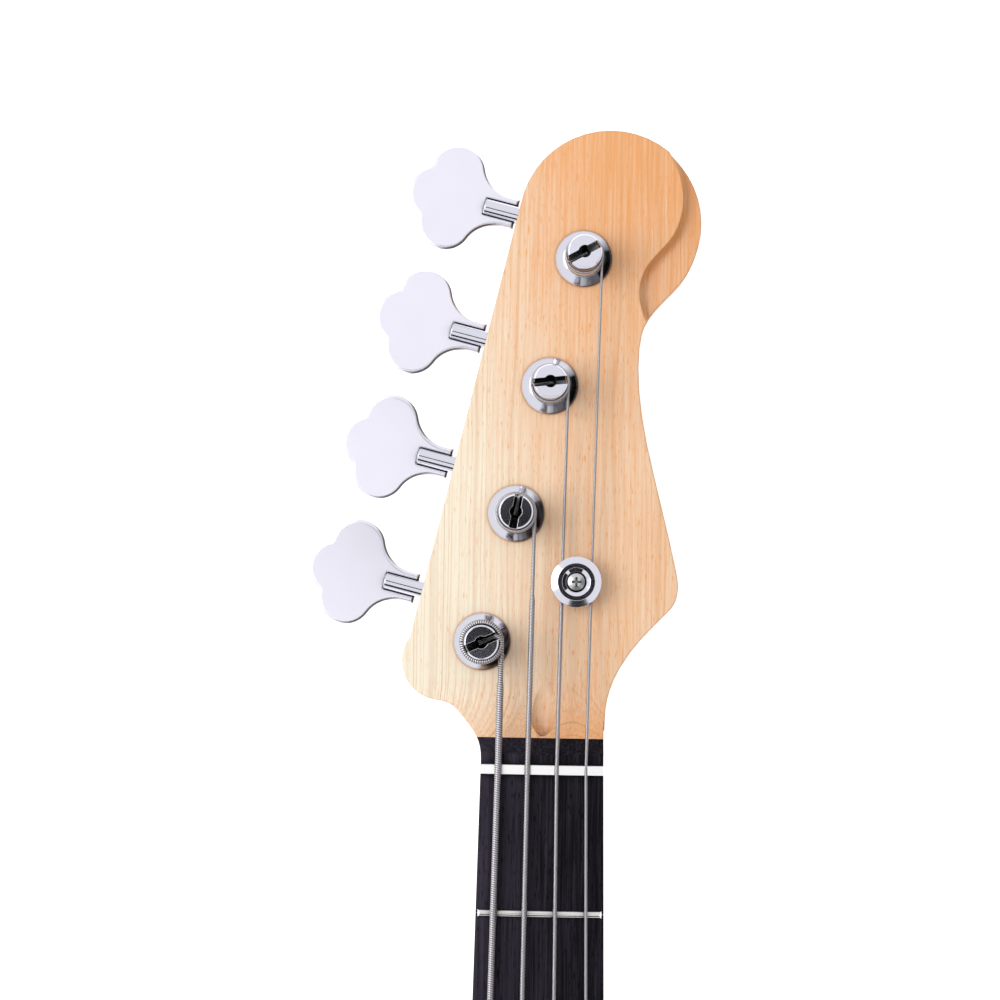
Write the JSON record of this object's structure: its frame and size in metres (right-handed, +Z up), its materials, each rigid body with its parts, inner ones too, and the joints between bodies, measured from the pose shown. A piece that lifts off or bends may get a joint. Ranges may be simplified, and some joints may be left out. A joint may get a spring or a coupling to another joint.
{
  "type": "electric bass guitar",
  "caption": "Four-string solid-body electric bass with bolt-on neck, scrolled headstock, open-gear tuning machines, split pickup, two controls and barrel-saddle bridge.",
  "frame": {"origin": "on the body's flat back, on the centre line, under the scale line of the saddles", "axes": "+Y along the neck to the headstock, +Z up out of the front, +X to the treble side"},
  "size_m": [0.3238, 1.1991, 0.0662],
  "materials": {
    "maple": "satin lacquer",
    "black_wood": "satin",
    "fret_wire": "polished",
    "pearl": "gloss",
    "bone": "satin",
    "steel": "plain",
    "chrome": "polished",
    "brass": "plain",
    "string_wire": "wound",
    "lacquer": "gloss lacquer",
    "guard_plastic": "gloss",
    "black_plastic": "satin",
    "copper": "enamelled wire",
    "ceramic": "matt",
    "insulation": "cloth"
  },
  "bodies": {
    "bass": {"body": "lacquer", "bridge_plate": "chrome", "bridge_screws": "chrome", "control_nuts": "chrome", "fingerboard": "black_wood", "frets": "fret_wire", "hookup_wires": "insulation", "intonation_screws": "chrome", "intonation_springs": "chrome", "neck": "maple", "neck_ferrules": "chrome", "neck_screws": "steel", "nut": "bone", "output_jack": "chrome", "pickguard": "guard_plastic", "pickguard_screws": "chrome", "pickup_coils": "copper", "pickup_covers": "black_plastic", "pickup_poles": "steel", "pickup_screws": "chrome", "position_dots": "pearl", "pots": "steel", "strap_buttons": "chrome", "strap_screws": "steel", "string_a": "string_wire", "string_d": "string_wire", "string_e": "string_wire", "string_g": "string_wire", "string_retainer": "chrome", "string_retainer_screw": "chrome", "tone_capacitor": "ceramic", "truss_rod": "steel", "truss_rod_nut": "steel", "tuner_bushings": "chrome", "tuner_plates": "chrome", "tuner_screws": "chrome"},
    "key_e": {"tuner_worm_e": "chrome", "tuner_key_e": "chrome"},
    "post_e": {"tuner_post_e": "chrome", "tuner_gear_e": "brass"},
    "key_a": {"tuner_worm_a": "chrome", "tuner_key_a": "chrome"},
    "post_a": {"tuner_post_a": "chrome", "tuner_gear_a": "brass"},
    "key_d": {"tuner_worm_d": "chrome", "tuner_key_d": "chrome"},
    "post_d": {"tuner_post_d": "chrome", "tuner_gear_d": "brass"},
    "key_g": {"tuner_worm_g": "chrome", "tuner_key_g": "chrome"},
    "post_g": {"tuner_post_g": "chrome", "tuner_gear_g": "brass"},
    "volume": {"volume_shaft": "chrome", "volume_knob": "chrome"},
    "tone": {"tone_shaft": "chrome", "tone_knob": "chrome"},
    "bridge_saddle_e": {"saddle_e": "chrome"},
    "bridge_saddle_a": {"saddle_a": "chrome"},
    "bridge_saddle_d": {"saddle_d": "chrome"},
    "bridge_saddle_g": {"saddle_g": "chrome"}
  },
  "joints": [
    {"name": "key_e_turn", "type": "hinge", "parent": "bass", "child": "key_e", "pos_m": [-0.019, 0.92096, 0.022], "axis": [0.9709, -0.2394, 0], "continuous": true, "deforming": ["string_e"]},
    {"name": "post_e_turn", "type": "hinge", "parent": "bass", "child": "post_e", "pos_m": [-0.02187, 0.90931, 0.043], "axis": [0, 0, 1], "continuous": true, "deforming": ["string_e"]},
    {"name": "key_a_turn", "type": "hinge", "parent": "bass", "child": "key_a", "pos_m": [-0.00777, 0.96648, 0.022], "axis": [0.9709, -0.2394, 0], "continuous": true, "deforming": ["string_a"]},
    {"name": "post_a_turn", "type": "hinge", "parent": "bass", "child": "post_a", "pos_m": [-0.01065, 0.95483, 0.043], "axis": [0, 0, 1], "continuous": true, "deforming": ["string_a"]},
    {"name": "key_d_turn", "type": "hinge", "parent": "bass", "child": "key_d", "pos_m": [0.00345, 1.01199, 0.022], "axis": [0.9709, -0.2394, 0], "continuous": true, "deforming": ["string_d"]},
    {"name": "post_d_turn", "type": "hinge", "parent": "bass", "child": "post_d", "pos_m": [0.00057, 1.00034, 0.043], "axis": [0, 0, 1], "continuous": true, "deforming": ["string_d"]},
    {"name": "key_g_turn", "type": "hinge", "parent": "bass", "child": "key_g", "pos_m": [0.01467, 1.05751, 0.022], "axis": [0.9709, -0.2394, 0], "continuous": true, "deforming": ["string_g"]},
    {"name": "post_g_turn", "type": "hinge", "parent": "bass", "child": "post_g", "pos_m": [0.0118, 1.04586, 0.043], "axis": [0, 0, 1], "continuous": true, "deforming": ["string_g"]},
    {"name": "volume_turn", "type": "hinge", "parent": "bass", "child": "volume", "pos_m": [0.084, 0.084, 0.05], "axis": [0, 0, 1], "range_deg": [-150, 150]},
    {"name": "tone_turn", "type": "hinge", "parent": "bass", "child": "tone", "pos_m": [0.097, 0.038, 0.05], "axis": [0, 0, 1], "range_deg": [-150, 150]},
    {"name": "saddle_e_slide", "type": "slide", "parent": "bass", "child": "bridge_saddle_e", "axis": [0, 1, 0], "range_m": [-0.003, 0.003], "deforming": ["intonation_springs", "string_e"]},
    {"name": "saddle_a_slide", "type": "slide", "parent": "bass", "child": "bridge_saddle_a", "axis": [0, 1, 0], "range_m": [-0.003, 0.003], "deforming": ["intonation_springs", "string_a"]},
    {"name": "saddle_d_slide", "type": "slide", "parent": "bass", "child": "bridge_saddle_d", "axis": [0, 1, 0], "range_m": [-0.003, 0.003], "deforming": ["intonation_springs", "string_d"]},
    {"name": "saddle_g_slide", "type": "slide", "parent": "bass", "child": "bridge_saddle_g", "axis": [0, 1, 0], "range_m": [-0.003, 0.003], "deforming": ["intonation_springs", "string_g"]}
  ],
  "couplings": [
    {"joint": "post_e_turn", "follows": "key_e_turn", "ratio": 0.05},
    {"joint": "post_a_turn", "follows": "key_a_turn", "ratio": 0.05},
    {"joint": "post_d_turn", "follows": "key_d_turn", "ratio": 0.05},
    {"joint": "post_g_turn", "follows": "key_g_turn", "ratio": 0.05}
  ]
}
